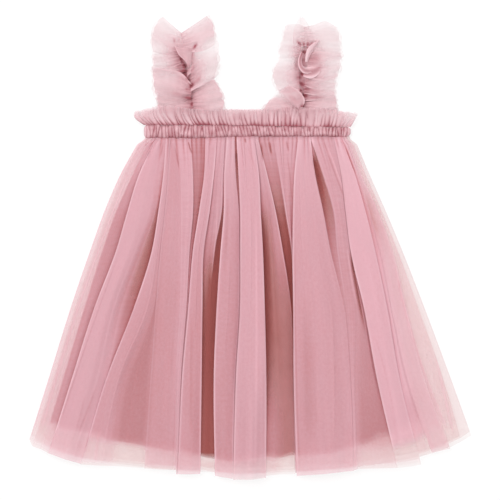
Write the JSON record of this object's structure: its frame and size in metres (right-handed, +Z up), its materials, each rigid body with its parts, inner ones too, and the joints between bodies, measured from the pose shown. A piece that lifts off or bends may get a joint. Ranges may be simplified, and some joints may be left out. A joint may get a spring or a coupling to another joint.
{
  "type": "toddler party dress",
  "caption": "Toddler party dress of gathered tulle laid flat: shirred elastic band with a frill, ruffled shoulder straps and a wide layered skirt over a lining.",
  "frame": {"origin": "centre of the dress's bounding box on the surface that it lies on", "axes": "+Y from the hem towards the shoulder straps, +X to the viewer's right when looking down on the front, +Z up from the surface"},
  "size_m": [0.4634, 0.4825, 0.0272],
  "materials": {
    "tulle": "soft nylon tulle, dusty pink, sheer where it lies in one layer",
    "gathered_tulle": "soft nylon tulle in close gathers, dusty pink",
    "lining": "opaque woven lining, a warmer and darker pink"
  },
  "bodies": {
    "root": {"skirt_front_tulle": "tulle", "skirt_front_under_tulle": "tulle", "skirt_back_under_tulle": "tulle", "skirt_back_tulle": "tulle", "lining_front": "lining", "lining_back": "lining", "band_front": "gathered_tulle", "band_back": "gathered_tulle", "frill_front": "gathered_tulle", "frill_back": "gathered_tulle", "strap_left_front": "gathered_tulle", "strap_left_back": "gathered_tulle", "strap_right_front": "gathered_tulle", "strap_right_back": "gathered_tulle"}
  },
  "joints": []
}
